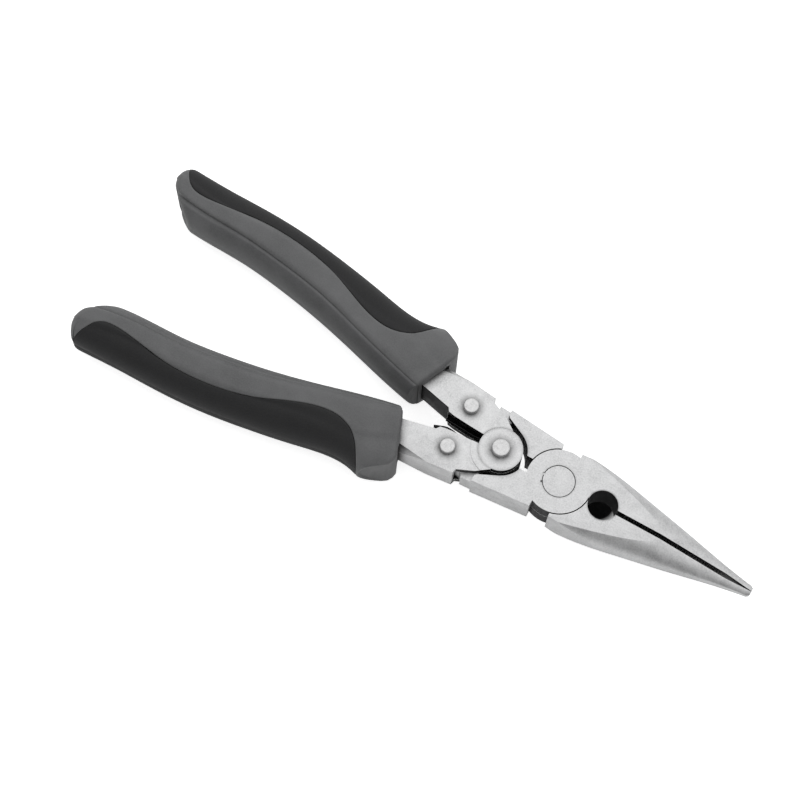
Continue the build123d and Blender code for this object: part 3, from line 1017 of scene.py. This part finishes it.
def newGeometryTree(name, inputs):
    tree = bpy.data.node_groups.new(name, "GeometryNodeTree")
    for label, kind in inputs.items():
        tree.interface.new_socket(name=label, in_out="INPUT", socket_type="NodeSocket" + kind)
    tree.interface.new_socket(name="Geometry", in_out="OUTPUT", socket_type="NodeSocketGeometry")
    return tree, tree.nodes.new("NodeGroupInput"), tree.nodes.new("NodeGroupOutput")


def endTree(tree, geometry, entry, leave):
    # copies become real faces and take the finish that is handed in
    realize = addNode(tree, "GeometryNodeRealizeInstances", {"Geometry": geometry})
    finish = addNode(tree, "GeometryNodeSetMaterial", {
        "Geometry": realize.outputs["Geometry"], "Material": entry.outputs["Finish"]})
    feed(tree, leave, {"Geometry": finish.outputs["Geometry"]})
    return tree


def wireTree():
    tree, entry, leave = newGeometryTree(
        "wireAlongPath", {"Geometry": "Geometry", "Wire Radius": "Float", "Sides": "Int", "Finish": "Material"})
    source = entry.outputs
    path = addNode(tree, "GeometryNodeMeshToCurve", {"Mesh": source["Geometry"]})
    ring = addNode(tree, "GeometryNodeCurvePrimitiveCircle", {
        "Radius": source["Wire Radius"], "Resolution": source["Sides"]})
    sweep = addNode(tree, "GeometryNodeCurveToMesh", {
        "Curve": path.outputs["Curve"], "Profile Curve": ring.outputs["Curve"], "Fill Caps": True})
    return endTree(tree, sweep.outputs["Mesh"], entry, leave)


def runTree(piece, tree, values):
    modifier = piece.modifiers.new(tree.name, "NODES")
    modifier.node_group = tree
    for item in tree.interface.items_tree:
        if item.in_out == "INPUT" and item.name in values:
            modifier[item.identifier] = values[item.name]
    return settle(piece)


def makeSpring():
    path, shape = springPath(), springShape
    mesh = bpy.data.meshes.new("returnSpring")
    mesh.from_pydata([p[:] for p in path], [(i, i + 1) for i in range(len(path) - 1)], [])
    piece = addPiece("returnSpring", mesh)
    runTree(piece, wireTree(), {"Wire Radius": shape["wire"], "Sides": shape["around"], "Finish": springSteel})
    cleanMesh(piece.data, shape["mergeGap"])
    smoothFaces(piece.data, shape["sharpDegrees"])
    piece.data.transform(toFrame)
    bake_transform(piece)
    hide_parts("return_spring")
    print("made returnSpring with", len(piece.data.polygons), "faces")


collarShape = {"outer": 2.8, "inner": 2.45, "half": 1.7, "soft": 0.08}


def makeCollar():
    outer, inner, half, soft = collarShape.values()
    profile = [
        (inner, -half), (outer - soft, -half), (outer, soft - half), (outer, half - soft), (outer - soft, half),
        (inner, half), (inner, -half),
    ]
    mesh = lathe(profile, pinShape["centre"]["x"], 0.0, "centreCollar")
    finishPiece(addPiece("centreCollar", mesh, pinSteel), "lower_handle", "pin_steel", "centre_spacer")


makeSpring()
makeCollar()


teethShape = {
    "start": 23.0,
    "pitch": 0.95,
    "count": 36,
    "height": 0.32,
    "faceY": 0.72,
    "widthStart": 5.6,
    "widthEnd": 2.35,
    "root": (0.25, 0.02),   # how deep the root is sunk, and where the flanks start
    "crest": 0.09,          # half the flat on top
}


def teethTree():
    tree, entry, leave = newGeometryTree("teethRow", {
        "Geometry": "Geometry", "Count": "Int", "Pitch": "Float", "Start": "Float", "Face": "Float",
        "Near Width": "Float", "Far Width": "Float", "Finish": "Material",
    })
    source = entry.outputs
    origin = addNode(tree, "ShaderNodeCombineXYZ", {"X": source["Start"], "Y": source["Face"]})
    stepBy = addNode(tree, "ShaderNodeCombineXYZ", {"X": source["Pitch"]})
    row = addNode(tree, "GeometryNodeMeshLine", {
        "Count": source["Count"], "Start Location": origin.outputs[0], "Offset": stepBy.outputs[0]})
    share = addMath(tree, "DIVIDE", addNode(tree, "GeometryNodeInputIndex").outputs[0], source["Count"])
    width = addRange(tree, share, 0.0, 1.0, source["Near Width"], source["Far Width"])
    scale = addNode(tree, "ShaderNodeCombineXYZ", {"X": 1.0, "Y": 1.0, "Z": width})
    copies = addNode(tree, "GeometryNodeInstanceOnPoints", {
        "Points": row.outputs["Mesh"], "Instance": source["Geometry"], "Scale": scale.outputs[0]})
    return endTree(tree, copies.outputs["Instances"], entry, leave)


def makeTeeth():
    shape, tree = teethShape, teethTree()
    p, h, crest, (root, flank) = shape["pitch"] / 2, shape["height"], shape["crest"], shape["root"]
    # one tooth: a ridge with a narrow flat on top, its root sunk in the jaw
    outline = [(-p, root), (p, root), (p, flank), (crest, -h), (-crest, -h), (-p, flank)]
    # the teeth take the near-black steel, painted shade for the shadowed gap between the jaws they sit in
    for name, body, turn in (
        ("frontJawTeeth", "front_jaw", Matrix.Identity(4)), ("rearJawTeeth", "rear_jaw", turnOver),
    ):
        piece = addPiece(name, prismMesh(name, outline, -1.0, 1.0))
        runTree(piece, tree, {
            "Count": shape["count"], "Pitch": shape["pitch"], "Start": shape["start"], "Face": shape["faceY"],
            "Near Width": shape["widthStart"], "Far Width": shape["widthEnd"], "Finish": shadeBlackSteel,
        })
        piece.data.transform(toFrame @ turn)
        finishPiece(piece, body, "jaw_steel")


makeTeeth()


studio = {
    "floorSize": 6.0,
    "floorColour": (0.86, 0.86, 0.86),
    "floorSink": 0.0002,
    "floorGlow": (0.2, 0.74),   # for light that bounces, for the camera
    # a painted shadow under the rod hole: x, y, where it is full, where it ends
    "underHole": (12.9, 4.9, 5.0, 9.5),
    "holeShadowColour": (0.01, 0.01, 0.01),
    "seenFrom": (0.10, 0.22),
    "skyAxis": (-0.15, 0.45, 0.88),
    "skyRange": (0.22, 0.74),
    "skyStrength": (0.31, 0.95),
    "keySize": 0.8,
    "keyPower": 0.7,
    "keyPlace": (-0.16, 0.34, 0.95),
    "lens": 85.28,
    "sensor": 36.0,
    "cameraPlace": (0.08148, -0.18144, 0.57021),
    "tilt": 20.0,
    "turn": 26.84,
    "roll": 3.12,
}


def makeFloor():
    size = studio["floorSize"] / 2
    mesh = bpy.data.meshes.new("floor")
    mesh.from_pydata([(-size, -size, 0), (size, -size, 0), (size, size, 0), (-size, size, 0)], [], [(0, 1, 2, 3)])
    material, tree, shader, vector = newMaterial("paleFloor")
    # bright paper, with a painted shadow under the rod hole that shows only from above, so that the hole reads as
    # deep
    x, y, core, reach = studio["underHole"]
    under = toFrame @ Vector((x, y, 0.0))
    away = addVectorMath(tree, "DISTANCE", vector, (under.x, under.y, 0.0))["Value"]
    spot = addRange(tree, away, core / 1000, reach / 1000, 1.0, 0.0)
    facing = addNode(tree, "ShaderNodeLayerWeight").outputs["Facing"]
    shade = addMath(tree, "MULTIPLY", spot, addRange(tree, facing, *studio["seenFrom"], 1.0, 0.0))
    seen = addNode(tree, "ShaderNodeLightPath").outputs["Is Camera Ray"]
    glow = addRange(tree, seen, 0.0, 1.0, *studio["floorGlow"])
    feed(tree, shader, {
        "Base Color": addColourMix(tree, shade, studio["floorColour"], studio["holeShadowColour"]),
        "Roughness": 0.9, "Specular IOR Level": 0.0, "Emission Color": (1.0, 1.0, 1.0, 1.0),
        "Emission Strength": addMath(tree, "MULTIPLY", glow, addMath(tree, "SUBTRACT", 1.0, shade)),
    })
    floor = addPiece("floor", mesh, material)
    floor.location.z = -studio["floorSink"]


def makeLight():
    world = bpy.data.worlds.new("studio")
    world.use_nodes = True
    tree = world.node_tree
    # light from above and behind, falling off to a dim horizon in front
    direction = addNode(tree, "ShaderNodeTexCoord").outputs["Generated"]
    lean = addVectorMath(tree, "DOT_PRODUCT", direction, studio["skyAxis"])["Value"]
    strength = addRange(tree, lean, *studio["skyRange"], *studio["skyStrength"])
    feed(tree, tree.nodes["Background"], {"Strength": strength, "Color": (1.0, 1.0, 1.0, 1.0)})
    bpy.context.scene.world = world
    light = bpy.data.lights.new("softBox", "AREA")
    light.size = studio["keySize"]
    light.energy = studio["keyPower"]
    lamp = addObject("softBox", light)
    lamp.location = studio["keyPlace"]
    lamp.rotation_euler = Vector(studio["keyPlace"]).to_track_quat("Z", "Y").to_euler()


def makeCamera():
    camera = bpy.data.cameras.new("camera")
    camera.lens = studio["lens"]
    camera.sensor_width = studio["sensor"]
    camera.clip_start = 0.01
    holder = addObject("camera", camera)
    tilt, turn, roll = (math.radians(studio[k]) for k in ("tilt", "turn", "roll"))
    back = Vector((math.sin(tilt) * math.sin(turn), -math.sin(tilt) * math.cos(turn), math.cos(tilt)))
    right = Vector((math.cos(turn), math.sin(turn), 0.0))
    up = back.cross(right)
    rolledRight = right * math.cos(roll) + up * math.sin(roll)
    rolledUp = up * math.cos(roll) - right * math.sin(roll)
    axes = Matrix((rolledRight, rolledUp, back)).transposed().to_4x4()
    holder.matrix_world = Matrix.Translation(Vector(studio["cameraPlace"])) @ axes
    bpy.context.scene.camera = holder
    bpy.context.scene.view_settings.view_transform = "Standard"


makeFloor()
makeLight()
makeCamera()
print("stage ready")
